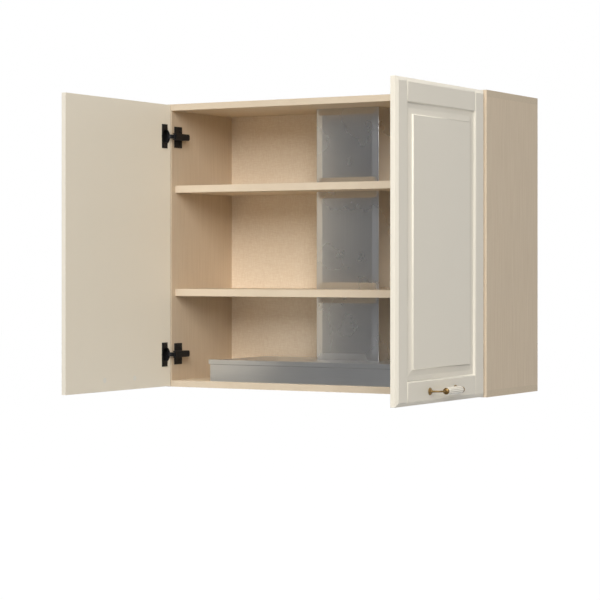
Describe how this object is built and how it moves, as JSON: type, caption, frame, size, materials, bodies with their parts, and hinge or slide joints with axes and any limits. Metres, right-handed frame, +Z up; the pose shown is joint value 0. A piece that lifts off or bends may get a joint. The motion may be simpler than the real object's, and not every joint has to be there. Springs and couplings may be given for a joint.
{
  "type": "kitchen wall cabinet with built-in cooker hood",
  "caption": "Wide kitchen wall cabinet with framed doors standing open, fixed shelves, and a built-in cooker hood whose duct rises behind metal covers.",
  "frame": {"origin": "on the wall plane, midway between the two hanging holes in the rear edges of the sides", "axes": "+X to the right seen from the room, along the width; +Y into the wall; +Z up; the doors open towards -Y"},
  "size_m": [0.9714, 0.7475, 0.728],
  "materials": {
    "board": "matt light maple decor",
    "back_board": "matt light linen decor",
    "edge_band": "matt light maple decor",
    "beech": "raw",
    "zinc_plate": "zinc plated",
    "hinge_black": "satin black",
    "link_steel": "dark zinc plated",
    "door_film": "cream film, satin",
    "cap_plastic": "cream",
    "handle_brass": "antique",
    "ceramic": "glossy ivory",
    "hood_steel": "brushed",
    "filter_aluminium": "satin",
    "filter_mesh": "expanded mesh",
    "lens_plastic": "frosted",
    "board_green": "circuit board",
    "switch_black": "fine texture",
    "fan_steel": "galvanised",
    "motor_black": "satin",
    "wheel_plastic": "plain",
    "pipe_steel": "galvanised",
    "collar_steel": "galvanised",
    "cover_steel": "brushed"
  },
  "bodies": {
    "cabinet": {"left_side_panel": "board", "right_side_panel": "board", "top_panel": "board", "bottom_panel": "board", "back_panel": "back_board", "upper_shelf": "board", "lower_shelf": "board", "carcass_edge_bands": "edge_band", "shelf_edge_bands": "edge_band", "shelf_pins": "zinc_plate", "carcass_screws": "zinc_plate", "dowels": "beech", "hanging_plates": "zinc_plate", "hanging_plate_screws": "zinc_plate", "hinge_plates": "hinge_black", "hinge_arms": "hinge_black", "hinge_plate_screws": "zinc_plate", "hood_body": "hood_steel", "hood_front_bar": "hood_steel", "hood_tray": "hood_steel", "hood_screws": "zinc_plate", "lamp_lens": "lens_plastic", "lamp_board": "board_green", "fan_housing": "fan_steel", "fan_motor": "motor_black", "motor_bracket": "zinc_plate", "fan_screws": "zinc_plate", "duct_pipe": "pipe_steel", "outlet_collar": "collar_steel", "lower_duct_cover": "cover_steel", "middle_duct_cover": "cover_steel", "upper_duct_cover": "cover_steel", "cover_screws": "zinc_plate"},
    "left_door_body": {"left_door": "door_film", "left_hinge_cups": "hinge_black", "left_cup_screws": "zinc_plate", "left_cup_pins": "zinc_plate", "left_handle_arms": "handle_brass", "left_handle_grip": "ceramic", "left_handle_rod": "zinc_plate", "left_handle_screws": "zinc_plate", "left_screw_caps": "cap_plastic"},
    "left_links": {"left_hinge_links": "link_steel"},
    "right_links": {"right_hinge_links": "link_steel"},
    "left_filter": {"left_filter_frame": "filter_aluminium", "left_filter_mesh": "filter_mesh"},
    "right_filter": {"right_filter_frame": "filter_aluminium", "right_filter_mesh": "filter_mesh"},
    "fan_rotor": {"fan_wheel": "wheel_plastic"},
    "fan_slider": {"fan_switch": "switch_black"},
    "light_slider": {"light_switch": "switch_black"},
    "right_door_body": {"right_door": "door_film", "right_hinge_cups": "hinge_black", "right_cup_screws": "zinc_plate", "right_cup_pins": "zinc_plate", "right_handle_arms": "handle_brass", "right_handle_grip": "ceramic", "right_handle_rod": "zinc_plate", "right_handle_screws": "zinc_plate", "right_screw_caps": "cap_plastic"}
  },
  "joints": [
    {"name": "left_door_swing", "type": "hinge", "parent": "cabinet", "child": "left_door_body", "pos_m": [-0.44275, -0.30675, -0.3], "axis": [0, 0, -1], "range_deg": [-90, 15]},
    {"name": "left_link_turn", "type": "hinge", "parent": "left_door_body", "child": "left_links", "pos_m": [-0.43456, -0.31157, -0.3], "axis": [0, 0, 1], "range_deg": [-138, 24]},
    {"name": "right_door_swing", "type": "hinge", "parent": "cabinet", "child": "right_door_body", "pos_m": [0.44275, -0.30675, -0.3], "axis": [0, 0, 1], "range_deg": [-90, 15]},
    {"name": "right_link_turn", "type": "hinge", "parent": "right_door_body", "child": "right_links", "pos_m": [0.43456, -0.31157, -0.3], "axis": [0, 0, -1], "range_deg": [-138, 24]},
    {"name": "left_filter_drop", "type": "hinge", "parent": "cabinet", "child": "left_filter", "pos_m": [-0.1425, -0.0692, -0.653], "axis": [1, 0, 0], "range_deg": [0, 60]},
    {"name": "right_filter_drop", "type": "hinge", "parent": "cabinet", "child": "right_filter", "pos_m": [0.1425, -0.0692, -0.653], "axis": [1, 0, 0], "range_deg": [0, 60]},
    {"name": "fan_spin", "type": "hinge", "parent": "cabinet", "child": "fan_rotor", "pos_m": [0, -0.079, -0.5185], "axis": [1, 0, 0], "continuous": true},
    {"name": "fan_switch_slide", "type": "slide", "parent": "cabinet", "child": "fan_slider", "axis": [1, 0, 0], "range_m": [0, 0.018]},
    {"name": "light_switch_slide", "type": "slide", "parent": "cabinet", "child": "light_slider", "axis": [1, 0, 0], "range_m": [0, 0.006]}
  ],
  "couplings": [
    {"joint": "left_link_turn", "follows": "left_door_swing", "ratio": 1.5273},
    {"joint": "right_link_turn", "follows": "right_door_swing", "ratio": 1.5273}
  ]
}
